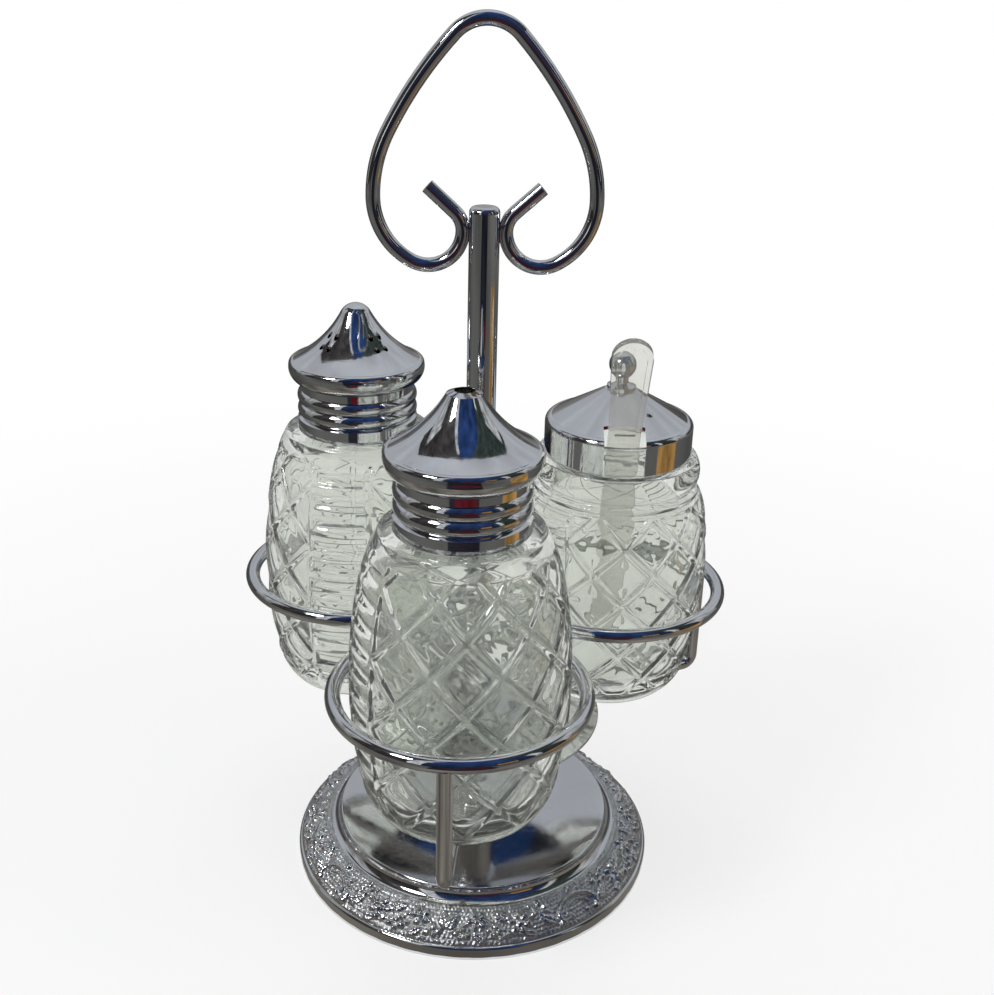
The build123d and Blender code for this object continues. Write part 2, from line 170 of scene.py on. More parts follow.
# ---- materials ----


def opaque(color):
    return tuple(color) + (1.0,)


class Nodes:
    """A node tree with short helpers. Each input takes another node's output or a plain value."""

    def __init__(self, tree):
        self.tree = tree

    def plug(self, value, socket):
        if hasattr(value, "is_output"):
            self.tree.links.new(value, socket)
        else:
            socket.default_value = value

    def node(self, kind, inputs, **settings):
        """A new node with its settings and then its inputs, which go by name or number."""
        made = self.tree.nodes.new(kind)
        for key, value in settings.items():
            setattr(made, key, value)
        for key, value in inputs.items():
            self.plug(value, made.inputs[key])
        return made

    def finish(self, node):
        """Shows what a node makes on the surface of the material."""
        self.plug(node.outputs[0], self.tree.nodes["Material Output"].inputs["Surface"])

    def coordinates(self, kind):
        return self.node("ShaderNodeTexCoord", {}).outputs[kind]

    def math(self, operation, *values):
        return self.node("ShaderNodeMath", dict(enumerate(values)), operation=operation).outputs["Value"]

    def add(self, first, second):
        return self.math("ADD", first, second)

    def multiply(self, first, second):
        return self.math("MULTIPLY", first, second)

    def vector_math(self, operation, output, *values):
        made = self.node("ShaderNodeVectorMath", dict(enumerate(values)), operation=operation)
        return made.outputs[output]

    def noise(self, place, scale, detail, roughness):
        inputs = {"Vector": place, "Scale": scale, "Detail": detail, "Roughness": roughness}
        return self.node("ShaderNodeTexNoise", inputs).outputs["Fac"]

    def ramp(self, value, low, high, out_low=0.0, out_high=1.0, shape="LINEAR"):
        """Carries low..high over to out_low..out_high, and stops at both ends."""
        inputs = {"Value": value, "From Min": low, "From Max": high, "To Min": out_low, "To Max": out_high}
        return self.node("ShaderNodeMapRange", inputs, interpolation_type=shape).outputs["Result"]

    def mix(self, share, first, second):
        """A blend of two colours, which are inputs 6 and 7 and output 2 of a Mix node."""
        return self.node("ShaderNodeMix", {0: share, 6: first, 7: second}, data_type="RGBA").outputs[2]

    def seen_directly(self):
        """1 for camera, glossy and transmission rays and 0 for the rest."""
        rays = self.node("ShaderNodeLightPath", {}).outputs
        seen = self.math("MAXIMUM", rays["Is Camera Ray"], rays["Is Glossy Ray"])
        return self.math("MAXIMUM", seen, rays["Is Transmission Ray"])


class Surface(Nodes):
    """A material with one Principled shader. The scales of its noises are per metre."""

    def __init__(self, name):
        self.material = bpy.data.materials.new(name)
        self.material.use_nodes = True
        super().__init__(self.material.node_tree)
        self.shader = self.tree.nodes["Principled BSDF"]
        self.place = self.coordinates("Object")

    def set(self, name, value):
        self.plug(value, self.shader.inputs[name])

    def source(self, name):
        """The output that feeds an input of the shader."""
        return self.shader.inputs[name].links[0].from_socket

    def grain(self, scale, detail, roughness=0.55):
        return self.noise(self.place, scale, detail, roughness)

    def streaks(self, scale):
        """Noise drawn out into lines by a scale for each axis."""
        stretched = self.node("ShaderNodeMapping", {"Vector": self.place, "Scale": scale})
        return self.noise(stretched.outputs["Vector"], 1, 2, 0.5)

    def bump(self, height, strength, distance):
        """Adds a bump over any earlier one, its distance in metres."""
        made = self.node("ShaderNodeBump", {"Height": height, "Strength": strength, "Distance": distance})
        before = self.shader.inputs["Normal"].links
        if before:
            self.plug(before[0].from_socket, made.inputs["Normal"])
        self.set("Normal", made.outputs["Normal"])

    def wear_and_shade(self, share, color, roughness):
        """Brings in another colour and more roughness by a share from 0 to 1, for worn spots and for painted
        shade.
        """
        self.set("Base Color", self.mix(share, self.source("Base Color"), color))
        self.set("Roughness", self.add(self.source("Roughness"), self.multiply(share, roughness)))

    def stain(self, center, reach, grain, color):
        """A ragged worn spot in the plate round a point, dull and rough."""
        away = self.vector_math("DISTANCE", "Value", self.place, Vector(center) * MM)
        reach = reach * MM
        ragged = self.add(away, self.ramp(self.grain(grain, 4), 0.3, 0.7, -reach / 2, reach / 2))
        self.wear_and_shade(self.ramp(ragged, reach * 0.45, reach * 0.75, 1, 0), opaque(color), 0.4)

    def paint_inside_shade(self, center):
        """Paints shade on the sheet: near black and dull where it faces a point inside it."""
        from_center = self.vector_math("SUBTRACT", "Vector", self.place, Vector(center) * MM)
        facing = self.vector_math("DOT_PRODUCT", "Value", from_center, self.coordinates("Normal"))
        self.wear_and_shade(self.ramp(facing, -0.0008, -0.0002, 1, 0), opaque(INSIDE_SHADE), 0.35)


# painted shade: the near-black colour of the insides of the caps
INSIDE_SHADE = (0.06, 0.055, 0.05)
TARNISH_TINT = (0.86, 0.83, 0.78)


def chrome(name, color, rough, wave, tarnish):
    """Bright plate: fine scratches, a slight waviness and thin tarnish in patches."""
    plate = Surface(name)
    plate.set("Metallic", 1.0)
    grain = plate.ramp(plate.grain(900, 3), 0.3, 0.7, rough * 0.6, rough * 1.4)
    level_lines = plate.ramp(plate.streaks((140, 140, 2600)), 0.62, 0.74)
    upright_lines = plate.ramp(plate.streaks((2400, 160, 160)), 0.64, 0.76)
    scratches = plate.math("MAXIMUM", level_lines, upright_lines)
    patches = plate.ramp(plate.grain(70, 5, 0.6), 0.45, 0.75)
    spots = plate.ramp(plate.grain(420, 2, 0.5), 0.66, 0.72)
    scratched = plate.add(grain, plate.multiply(scratches, rough * 0.8))
    plate.set("Roughness", plate.add(scratched, plate.multiply(patches, rough * 0.9)))
    warm = opaque(part * tint for part, tint in zip(color, TARNISH_TINT))
    share = plate.multiply(plate.add(patches, spots), tarnish)
    plate.set("Base Color", plate.mix(share, opaque(color), warm))
    plate.bump(plate.grain(55, 2), wave, 0.0004)
    plate.bump(scratches, 0.05, 0.00003)
    return plate


def foot_chrome():
    """Plate over the embossed foot: the sunk ground is grainy and darker than the raised work."""
    plate = chrome("embossed_chrome", (0.72, 0.73, 0.745), rough=0.08, wave=0.08, tarnish=0.35)
    relief = plate.node("ShaderNodeAttribute", {}, attribute_name="relief").outputs["Fac"]
    on_band = plate.ramp(relief, 0.005, 0.015)
    ground = plate.multiply(on_band, plate.ramp(relief, 0.26, 0.42, 1, 0))
    # the sunk ground of the band is coloured darker grey, by an uneven share
    ground_darkening = plate.multiply(plate.ramp(plate.grain(300, 4), 0.4, 0.65, 0.35, 1.0), 0.55)
    darker_ground = plate.mix(plate.multiply(ground, ground_darkening), plate.source("Base Color"), opaque((0.34, 0.34, 0.33)))
    plate.set("Base Color", darker_ground)
    plate.set("Roughness", plate.add(plate.source("Roughness"), plate.multiply(ground, 0.2)))
    pits = plate.node("ShaderNodeTexVoronoi", {"Vector": plate.place, "Scale": 1500.0}).outputs["Distance"]
    plate.bump(plate.multiply(pits, on_band), 0.6, 0.00022)
    return plate


def glass(name, color, rough, ripple, clear):
    """Pressed or moulded clear stuff. clear is the share of light that passes, the rest is a pale veil."""
    stuff = Surface(name)
    stuff.set("Transmission Weight", clear)
    stuff.set("IOR", 1.5)
    stuff.set("Roughness", stuff.ramp(stuff.grain(160, 3), 0.35, 0.7, rough * 0.5, rough * 1.6))
    deep = opaque(part * 0.93 for part in color)
    stuff.set("Base Color", stuff.mix(stuff.ramp(stuff.grain(90, 2), 0.4, 0.65), opaque(color), deep))
    stuff.bump(stuff.grain(260, 2), ripple, 0.0003)
    stuff.bump(stuff.grain(70, 2), ripple, 0.0008)
    return stuff


# ---- foot: its outline, then the raised work of its band ----

foot_low, foot_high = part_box("base_plate")
FOOT_RADIUS = (foot_high.x - foot_low.x) / 2 / MM
SHEET = 0.9
RIM_HEIGHT = 3.4
RIM_LIP = 2.6
LIP_CHAMFER = 0.12
STUD_HOLE = 2.65
BAND_INNER = (37.3, 8.4)
BAND_CROWN = 0.5
COVE_DEPTH = 0.5
PLATEAU_RADIUS = 35.0
PLATEAU_HEIGHT = 12.0

# each rounded edge: its radius, and how far the middle of the round lies inside both faces
EDGE_ROUND, EDGE_CUT = 0.25, 0.07
RIM_ROUND, RIM_CUT = 0.8, 0.234
PLATEAU_ROUND, PLATEAU_CUT = 0.6, 0.176

BAND_OUTER = (FOOT_RADIUS - RIM_ROUND, RIM_HEIGHT)


def between(start, end, bulge):
    """The point halfway between two points, moved up and outwards by a bulge."""
    return ((start[0] + end[0]) / 2 + bulge, (start[1] + end[1]) / 2 + bulge)


def foot_profile():
    """The closed outline of the pressed sheet, from its lip round the outside and back underneath.

    The last number of each stretch is the step between its points."""
    lip = FOOT_RADIUS - RIM_LIP
    edge_start, edge_end = (FOOT_RADIUS - EDGE_ROUND, 0.0), (FOOT_RADIUS, EDGE_ROUND)
    rim_start = (FOOT_RADIUS, RIM_HEIGHT - RIM_ROUND)
    rim_middle = (FOOT_RADIUS - RIM_CUT, RIM_HEIGHT - RIM_CUT)
    cove_end = (PLATEAU_RADIUS, PLATEAU_HEIGHT - PLATEAU_ROUND)
    plateau_middle = (PLATEAU_RADIUS - PLATEAU_CUT, PLATEAU_HEIGHT - PLATEAU_CUT)
    plateau_start = (PLATEAU_RADIUS - PLATEAU_ROUND, PLATEAU_HEIGHT)
    points = [(lip, LIP_CHAMFER), (lip + LIP_CHAMFER, 0.0)]
    line(points, points[-1], edge_start, 0.8)
    points += arc(edge_start, (FOOT_RADIUS - EDGE_CUT, EDGE_CUT), edge_end, 0.12)
    line(points, edge_end, rim_start, 0.5)
    points += arc(rim_start, rim_middle, BAND_OUTER, 0.2)
    points += arc(BAND_OUTER, between(BAND_OUTER, BAND_INNER, BAND_CROWN), BAND_INNER, 0.17)
    points += arc(BAND_INNER, between(BAND_INNER, cove_end, -COVE_DEPTH), cove_end, 0.3)
    points += arc(cove_end, plateau_middle, plateau_start, 0.12)
    line(points, plateau_start, (STUD_HOLE, PLATEAU_HEIGHT), 2.5)
    ceiling = PLATEAU_HEIGHT - SHEET
    side = FOOT_RADIUS - SHEET
    line(points, (STUD_HOLE, PLATEAU_HEIGHT), (STUD_HOLE, ceiling), 0.5)
    under = [(33.7, ceiling), (34.1, 10.4), (36.2, 7.7), (40.8, 5.3), (44.3, 2.6)]
    under += [(side, 1.9), (side, SHEET), (lip, SHEET)]
    line(points, (STUD_HOLE, ceiling), under[0], 3.0)
    for start, end in zip(under, under[1:]):
        line(points, start, end, 1.2)
    return points


# The band is drawn flat: place is a pair of arrays, along the band and inwards from its outer edge.


def from_point(place, at, turn=0.0):
    """How far each place lies from a point, along a turned direction and across it."""
    right, up = place[0] - at[0], place[1] - at[1]
    cos, sin = math.cos(turn), math.sin(turn)
    return right * cos + up * sin, up * cos - right * sin


def ridge(distance, half_width, height):
    """A rounded ridge: its height at a distance from its middle line."""
    return height * np.sqrt(np.clip(1 - (distance / half_width) ** 2, 0, 1))


def dome(place, at, size, height, turn=0.0, stretch=1.0):
    """A rounded boss, drawn out along its own direction."""
    along, over = from_point(place, at, turn)
    return ridge(np.hypot(along / stretch, over), size, height)


def leaf(place, at, length, turn, height):
    """A pointed leaf with a sunk midrib and slanting veins."""
    widest, floor = 0.36 * length, 0.12 * height
    midrib_depth, midrib_width = 0.45 * height, 0.16
    vein_depth, vein_pitch, vein_slant = 0.18 * height, 0.75, 0.8
    along, over = from_point(place, at, turn)
    share = along / length
    width = widest * np.sqrt(np.clip(share * (1 - share) * 4, 0, 1)) * (1.15 - share * 0.5)
    body = np.where(np.abs(over) < width, ridge(over, np.maximum(width, 1e-6), height), 0)
    rib = midrib_depth * np.exp(-((over / midrib_width) ** 2))
    vein = (share * length - np.abs(over) * vein_slant) / vein_pitch
    veins = vein_depth * (0.5 + 0.5 * np.cos(vein * TURN))
    return np.where(body > 0, np.maximum(body - rib - veins, floor), 0)


def scroll(place, at, radius, start, sweep, height, width):
    """A ridge that runs round a point, drawn in and thinned a little on its way."""
    drawn_in, thinned = 0.05, 0.35
    right, up = from_point(place, at)
    share = (np.arctan2(up, right) - start) % TURN / sweep
    middle = radius * (1 - drawn_in * np.minimum(share, 1))
    half_width = width * (1 - thinned * np.minimum(share, 1))
    return np.where(share <= 1, ridge(np.hypot(right, up) - middle, half_width, height), 0)


def flower(place, at, size, height, petals, turn):
    """A ring of round petals about a raised eye."""
    out = dome(place, at, size * 0.34, height * 1.1)
    for petal in range(petals):
        angle = turn + petal * TURN / petals
        center = (at[0] + size * 0.62 * math.cos(angle), at[1] + size * 0.62 * math.sin(angle))
        out = np.maximum(out, dome(place, center, size * 0.3, height, angle, 1.35))
    return out


def berries(place, cluster, size, height):
    """A cluster of round berries in three sizes."""
    out = 0
    for index, at in enumerate(cluster):
        out = np.maximum(out, dome(place, at, size * (1 - 0.12 * (index % 3)), height))
    return out


# The ornaments of one half of a motif, which come again in its other half.
# bosses: place, size and height
BOSSES = (((5.0, 1.6), 1.05, 0.9), ((2.2, 2.0), 0.7, 0.6))
# leaves: place, length, lean from straight inwards, and height
LEAVES = (
    ((6.6, 2.4), 4.4, -0.95, 0.8),
    ((12.0, 1.1), 3.6, -1.25, 0.7),
    ((17.6, 5.6), 4.4, -1.15, 0.8),
    ((23.6, 1.0), 3.4, -1.0, 0.7),
    ((31.9, 3.6), 4.6, 0.35, 0.75),
)
# flowers: place, size, height, petals and turn
FLOWERS = (((15.2, 4.3), 3.1, 0.8, 6, 0.3), ((25.4, 5.6), 2.6, 0.75, 5, 0.6))
# berries: the places of a cluster and the size of its largest
CLUSTERS = (
    (((8.0, 6.7), (9.5, 5.6), (10.6, 7.0), (9.2, 7.9), (11.5, 5.7), (12.1, 7.6)), 0.9),
    (((18.6, 2.2), (20.0, 3.3), (20.1, 1.5), (21.5, 2.4), (21.3, 4.2), (22.8, 3.4)), 0.88),
    (((27.7, 2.4), (28.9, 3.5), (29.2, 1.9), (30.3, 2.9)), 0.85),
)
BERRY_HEIGHT = 0.8
FAN_CENTER = (0.0, 3.1)
FAN_STRETCH = 1.5
FAN_CROWN = (0.0, 8.1)
STEM_MIDDLE, STEM_SWING, STEM_WAVE = 4.4, 1.6, 15.0
STEM_START, STEM_END, STEM_FADE = 6.0, 30.0, 1.5
STEM_HALF_WIDTH, STEM_HEIGHT = 0.42, 0.55


def motif(place):
    """One length of the floral band: a fan in its middle, and a wavy stem with ornaments to each side."""
    along, inward = place
    fan = (along / FAN_STRETCH, inward)
    shapes = [
        scroll(fan, FAN_CENTER, radius=3.7, start=-0.45, sweep=math.pi + 0.9, height=0.85, width=0.6),
        scroll(fan, FAN_CENTER, radius=2.35, start=-0.2, sweep=math.pi + 0.4, height=0.5, width=0.34),
        dome(place, FAN_CROWN, size=0.95, height=0.8),
    ]
    for side in (-1, 1):
        out = along * side
        half = (out, inward)
        stem = STEM_MIDDLE + STEM_SWING * np.sin((out - STEM_START) * TURN / STEM_WAVE)
        starting = smooth(out, STEM_START, STEM_START + STEM_FADE)
        ending = 1 - smooth(out, STEM_END - STEM_FADE, STEM_END)
        shapes.append(ridge(inward - stem, STEM_HALF_WIDTH, STEM_HEIGHT) * starting * ending)
        shapes += [dome(half, *boss) for boss in BOSSES]
        shapes += [berries(half, cluster, size, BERRY_HEIGHT) for cluster, size in CLUSTERS]
        for at, length, lean, height in LEAVES:
            shapes.append(leaf(half, at, length, math.pi / 2 + lean, height))
        for (right, up), size, height, petals, turn in FLOWERS:
            shapes.append(flower(place, (side * right, up), size, height, petals, side * turn))
    return np.maximum.reduce(shapes)


MOTIFS = 4
FIRST_MOTIF = math.radians(-52)
BAND_MIDDLE = 41.0
BAND_WIDTH = 9.2
STIPPLE_PITCH, STIPPLE_HEIGHT, STIPPLE_SIZE = 0.94, 0.24, 0.47
GROUND = 0.02
BEAD_PITCH, BEAD_PLACE, BEAD_SIZE, BEAD_HEIGHT = 1.25, 0.62, 0.52, 0.3


def band_relief(angle, radius, height):
    """Raised work on the sloping band, on both faces of its sheet, and zero on the rest of the foot."""
    in_width = (radius < BAND_OUTER[0] + SLACK) & (radius > BAND_INNER[0] - SLACK)
    on_band = in_width & (height > RIM_HEIGHT - SLACK)
    inward = np.hypot(BAND_OUTER[0] - radius, height - BAND_OUTER[1])
    share = ((angle - FIRST_MOTIF) / (TURN / MOTIFS)) % 1.0
    along = (share - np.round(share)) * (TURN * BAND_MIDDLE / MOTIFS)
    work = motif((along, inward))
    row = np.round(inward / STIPPLE_PITCH)
    dot_along = (angle * BAND_MIDDLE / STIPPLE_PITCH + (row % 2) * 0.5) % 1.0 - 0.5
    dot_inward = inward / STIPPLE_PITCH - row
    dots = np.clip(1 - (np.hypot(dot_along, dot_inward) / STIPPLE_SIZE) ** 2, 0, 1)
    ground = GROUND + STIPPLE_HEIGHT * dots
    bead = ((angle * BAND_OUTER[0] / BEAD_PITCH) % 1.0 - 0.5) * BEAD_PITCH
    border = ridge(np.hypot(bead, inward - BEAD_PLACE), BEAD_SIZE, BEAD_HEIGHT)
    edge = smooth(inward, 0.0, 0.35) * (1 - smooth(inward, BAND_WIDTH - 0.15, BAND_WIDTH + 0.25))
    return np.where(on_band, np.maximum(np.maximum(work, ground), border) * edge, 0)


FOOT_SEGMENTS = 1440
foot = turned("foot_embossed", foot_profile(), (0, 0, 0), FOOT_SEGMENTS, band_relief, closed=True)
foot.data.materials.append(foot_chrome().material)
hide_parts("base_plate")
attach(foot, "stand")


# ---- jars: heights are above each jar's own foot ----

JAR_SEGMENTS = 560
OUTSIDE_STEP, INSIDE_STEP = 0.34, 1.6
JAR_WALL = 2.6
JAR_FLOOR = 5.0

# the cut pattern: ten columns of cells round the jar, two of them ribbed
CELLS = 10
RIB_COLUMNS = (0, 5)
RIB_BORDERS = [border for column in RIB_COLUMNS for border in (column, column + 1)]
CUT = 0.62
RIB_CUT = CUT * 1.1
BAR_TOP, BAR_FOOT = 0.5, 0.95
PILLOW, PILLOW_START, PILLOW_END = 0.2, 1.0, 3.6
RIB_TOP, RIB_FOOT = 0.2, 0.85
BORDER_TOP, BORDER_FOOT = 0.35, 1.0
PATTERN_FADE = 0.5


def cut_pattern(first_azimuth, low, high, cell_height, cell_start, rib_pitch):
    """Diamond panels between two columns of level ribs, cut inwards from the jar's smooth form."""

    def relief(angle, radius, height):
        column = (np.degrees(angle) - first_azimuth) / (360 / CELLS) % CELLS
        row = (height - cell_start) / cell_height
        width = radius * TURN / CELLS
        slope = width * cell_height / np.hypot(width, cell_height)
        rise, fall = column + row, column - row
        gap = np.minimum(np.abs(rise - np.round(rise)), np.abs(fall - np.round(fall))) * slope
        bars = -CUT * smooth(gap, BAR_TOP, BAR_FOOT)
        diamonds = bars + PILLOW * smooth(gap, PILLOW_START, PILLOW_END)
        step = (height - low) / rib_pitch
        ribs = -RIB_CUT * smooth(np.abs(step - np.round(step)) * 2, RIB_TOP, RIB_FOOT)
        panels = np.where(np.isin(np.floor(column), RIB_COLUMNS), ribs, diamonds)
        from_border = np.abs(column - np.round(column)) * width
        bordered = np.isin(np.round(column) % CELLS, RIB_BORDERS)
        border = np.where(bordered, -CUT * smooth(from_border, BORDER_TOP, BORDER_FOOT), -CUT)
        foot_edge = smooth(height, low - PATTERN_FADE, low + PATTERN_FADE)
        shoulder_edge = 1 - smooth(height, high - PATTERN_FADE, high + PATTERN_FADE)
        return np.maximum(panels, border) * foot_edge * shoulder_edge

    return relief


def groove(height, middle, depth, width):
    """A level groove round a jar."""
    return -depth * np.exp(-(((height - middle) / width) ** 2))


def thread(start, turns, pitch, depth):
    """A screw thread on the neck, which fades out at both ends."""
    end = start + turns * pitch

    def relief(angle, height):
        lap = (height - start) / pitch - angle / TURN
        crest = 0.5 + 0.5 * np.cos(lap * TURN)
        fade = smooth(height, start - 0.3, start + 0.6) * (1 - smooth(height, end - 0.6, end))
        return depth * crest**3 * fade

    return relief


def jar_side(foot, hip, belly, chest, shoulder, step):
    """The curved side of a jar from its foot to its shoulder, ends included."""
    side = [hip] + arc(hip, belly, chest, step)
    below = tangent_arc(hip, direction(side[1], side[0]), foot, step)
    above = tangent_arc(chest, direction(side[-2], side[-1]), shoulder, step)
    return below[::-1] + side + above


def jar_outside(form):
    """The sunk underside of a jar, its bearing edge and its side up to the shoulder."""
    sunk, turn_end = 0.9, 0.4
    side = jar_side(*form, OUTSIDE_STEP)
    radius = form[0][0]
    side_start = next(point for point in side if point[1] > turn_end)
    flat_end, hollow_middle = (radius - 3.4, sunk), (radius - 2.0, 0.6)
    edge, edge_middle = (radius - 1.0, 0.05), (radius - 0.3, 0.07)
    points = [(0, sunk)]
    line(points, (0, sunk), flat_end, 2.0)
    points += arc(flat_end, hollow_middle, edge, 0.4)
    points += arc(edge, edge_middle, side_start, 0.25)
    return points + [point for point in side if point[1] > side_start[1]]


def add_inside(points, form, bore):
    """Adds the inside of a jar, from the top of its bore down to the middle of its floor."""
    foot, hip, belly, chest, shoulder = form
    inner_foot = (foot[0] - JAR_WALL, JAR_FLOOR)
    inner_hip = (hip[0] - JAR_WALL, hip[1] + JAR_WALL)
    inner_belly = (belly[0] - JAR_WALL, belly[1])
    inner_chest = (chest[0] - JAR_WALL, chest[1] - JAR_WALL / 2)
    inner_shoulder = (bore, shoulder[1] - JAR_WALL)
    side = jar_side(inner_foot, inner_hip, inner_belly, inner_chest, inner_shoulder, INSIDE_STEP)
    line(points, points[-1], inner_shoulder, 2.0)
    points += side[::-1][1:]
    line(points, inner_foot, (0, JAR_FLOOR), 3.0)


def foot_center(node):
    """The middle of a node's lower side."""
    low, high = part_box(node)
    return ((low.x + high.x) / 2 / MM, (low.y + high.y) / 2 / MM, low.z / MM)


def pressed_jar(node, body, form, points, neck, bore, mouth, lip, relief):
    """A jar with its pressed pattern on the outside, in the place of a plain one.

    form is its foot, hip, belly, chest and shoulder, and points go as far as the top of its neck."""
    points += arc((neck, mouth - lip), ((neck + bore) / 2, mouth), (bore, mouth - lip), 0.25)
    outside_rows = len(points)
    add_inside(points, form, bore)
    outside = np.arange(len(points))[:, None] < outside_rows

    def outer_relief(angle, radius, height):
        return np.where(outside, relief(angle, radius, height), 0)

    piece = turned(node + "_pressed", points, foot_center(node), JAR_SEGMENTS, outer_relief)
    piece.data.materials.append(jar_glass.material)
    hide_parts(node)
    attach(piece, body)


def shaker(node, body, first_azimuth):
    """A shaker's glass: a level shoulder and a neck with a screw thread."""
    neck, bore, mouth, lip = 13.05, 11.05, 78.4, 0.7
    foot, hip, belly, chest, shoulder = (18.6, 0), (22.3, 7.5), (24.4, 34.2), (21.8, 56.2), (17.6, 67.4)
    form = (foot, hip, belly, chest, shoulder)
    pattern = cut_pattern(first_azimuth, low=5.0, high=63.7, cell_height=16.1, cell_start=44.1, rib_pitch=5.3)
    screw = thread(start=68.8, turns=2.6, pitch=2.9, depth=0.26)
    level_start = (shoulder[0] - 1.0, shoulder[1])
    points = jar_outside(form)[:-1]
    points += arc(points[-1], (shoulder[0] - 0.4, shoulder[1] - 0.05), level_start, 0.25)
    line(points, level_start, (neck + 0.3, shoulder[1]), 0.8)
    points.append((neck + 0.08, shoulder[1] + 0.1))
    line(points, (neck, shoulder[1] + 0.3), (neck, mouth - lip), 0.2)

    def relief(angle, radius, height):
        on_neck = (np.abs(radius - neck) < SLACK) & (height > shoulder[1] + 0.2)
        return np.where(on_neck, screw(angle, height), pattern(angle, radius, height))

    pressed_jar(node, body, form, points, neck, bore, mouth, lip, relief)


def mustard_pot(node, body, first_azimuth):
    """The mustard pot's glass: two grooves at its shoulder, a round bead and a plain neck on a ledge."""
    neck, bore, mouth, lip, ledge = 17.0, 14.8, 71.1, 0.8, 64.1
    bead_radius, grooved_radius, low_groove, high = 20.7, 18.6, 55.6, 54.7
    foot, hip, belly, chest, shoulder = (14.0, 0), (21.3, 8.5), (24.2, 32.2), (23.0, 49.2), (19.7, 57.5)
    form = (foot, hip, belly, chest, shoulder)
    pattern = cut_pattern(first_azimuth, low=7.0, high=high, cell_height=14.8, cell_start=33.2, rib_pitch=4.6)
    bead_middle = (bead_radius, (shoulder[1] + ledge) / 2)
    ledge_start = (shoulder[0] - 0.4, ledge)
    points = jar_outside(form)
    points += arc(shoulder, bead_middle, (shoulder[0], ledge), 0.3)
    points.append(ledge_start)
    line(points, ledge_start, (neck + 0.2, ledge), 0.6)
    line(points, (neck, ledge + 0.3), (neck, mouth - lip), 0.6)

    def relief(angle, radius, height):
        both = groove(height, shoulder[1], depth=0.55, width=0.5) + groove(height, low_groove, 0.4, 0.4)
        grooves = np.where(radius > grooved_radius, both, 0)
        return np.where(height < high, pattern(angle, radius, height), grooves)

    pressed_jar(node, body, form, points, neck, bore, mouth, lip, relief)


jar_glass = glass("jar_glass", (0.86, 0.88, 0.84), rough=0.02, ripple=0.07, clear=0.95)
shaker("pepper_glass", "pepper_shaker", -176.0)
shaker("salt_glass", "salt_shaker", -115.0)
mustard_pot("mustard_glass", "mustard_pot", -159.5)


# ---- finishes of the CAD nodes ----


def finish_nodes(surface, *names):
    for name in names:
        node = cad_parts[name]
        node.data.materials.clear()
        node.data.materials.append(surface.material)


def beside(node, right, back, up):
    """A point away from the middle of a node's lower side."""
    center = foot_center(node)
    return (center[0] + right, center[1] + back, center[2] + up)


CAP_LOOK = {"color": (0.75, 0.76, 0.78), "rough": 0.06, "wave": 0.16, "tarnish": 0.4}
RUST = (0.2, 0.13, 0.06)
DIRT = (0.08, 0.07, 0.06)

wire_chrome = chrome("wire_chrome", (0.74, 0.75, 0.765), rough=0.05, wave=0.05, tarnish=0.3)
plate_chrome = chrome("plate_chrome", (0.76, 0.77, 0.785), rough=0.05, wave=0.1, tarnish=0.3)
cap_chrome = chrome("cap_chrome", **CAP_LOOK)
zinc = chrome("zinc_steel", (0.56, 0.56, 0.55), rough=0.28, wave=0.2, tarnish=0.6)
pepper_chrome = chrome("pepper_cap_chrome", **CAP_LOOK)
pepper_chrome.stain(beside("pepper_cap", 1.9, -0.9, 29.3), reach=2.3, grain=900, color=RUST)
# painted shade: the inside of the pepper cap is painted near black
pepper_chrome.paint_inside_shade(foot_center("pepper_cap"))
salt_chrome = chrome("salt_cap_chrome", **CAP_LOOK)
# painted shade: the inside of the salt cap is painted near black
salt_chrome.paint_inside_shade(foot_center("salt_cap"))
lid_chrome = chrome("lid_chrome", **CAP_LOOK)
lid_chrome.stain(beside("mustard_lid", 6.2, -9.0, 12.3), reach=1.1, grain=2200, color=DIRT)
spoon_clear = glass("spoon_clear", (0.84, 0.84, 0.8), rough=0.04, ripple=0.08, clear=0.88)

finish_nodes(wire_chrome, "center_post", "support_sleeve", "retaining_collar", "handle_wire", "carousel_hub")
for jar in ("pepper", "salt", "mustard"):
    finish_nodes(wire_chrome, jar + "_ring", jar + "_cradle")
finish_nodes(plate_chrome, "carousel_plate")
finish_nodes(cap_chrome, "lid_knob")
finish_nodes(pepper_chrome, "pepper_cap")
finish_nodes(salt_chrome, "salt_cap")
finish_nodes(lid_chrome, "mustard_lid")
finish_nodes(zinc, "base_washer", "base_nut")
finish_nodes(spoon_clear, "mustard_spoon")


# ---- camera ----

CAMERA_PLACE = Vector((2.769, -273.918, 218.749)) * MM
YAW, PITCH, ROLL = 0.0054, 0.411, 0.0258
FOCAL_PIXELS = 1254.78
PHOTO_PIXELS = 995
SENSOR = 36

forward = Vector((math.sin(YAW) * math.cos(PITCH), math.cos(YAW) * math.cos(PITCH), -math.sin(PITCH)))
level = Vector((math.cos(YAW), -math.sin(YAW), 0))
above = level.cross(forward)
right = level * math.cos(ROLL) + above * math.sin(ROLL)
top = above * math.cos(ROLL) - level * math.sin(ROLL)
camera = placed("camera", bpy.data.cameras.new("camera"))
aim = Matrix((right, top, -forward)).transposed()
camera.matrix_world = Matrix.Translation(CAMERA_PLACE) @ aim.to_4x4()
camera.data.sensor_width = SENSOR
camera.data.lens = FOCAL_PIXELS * SENSOR / PHOTO_PIXELS
camera.data.clip_start = 0.01
bpy.context.scene.camera = camera


# ---- stage: floor, cards that only reflections see, lamps and world ----

WHITE = (1, 1, 1, 1)
PALE = (0.88, 0.88, 0.88, 1)
GLOW_START, GLOW_END = 0.09, 0.4
NEAR_GLOW = 0.72
FLOOR_HALF = 4.0


def stage_mesh(name, vertices, faces, material):
    mesh = bpy.data.meshes.new(name)
    mesh.from_pydata(vertices, [], faces)
    piece = placed(name, mesh)
    piece.data.materials.append(material)
    return piece


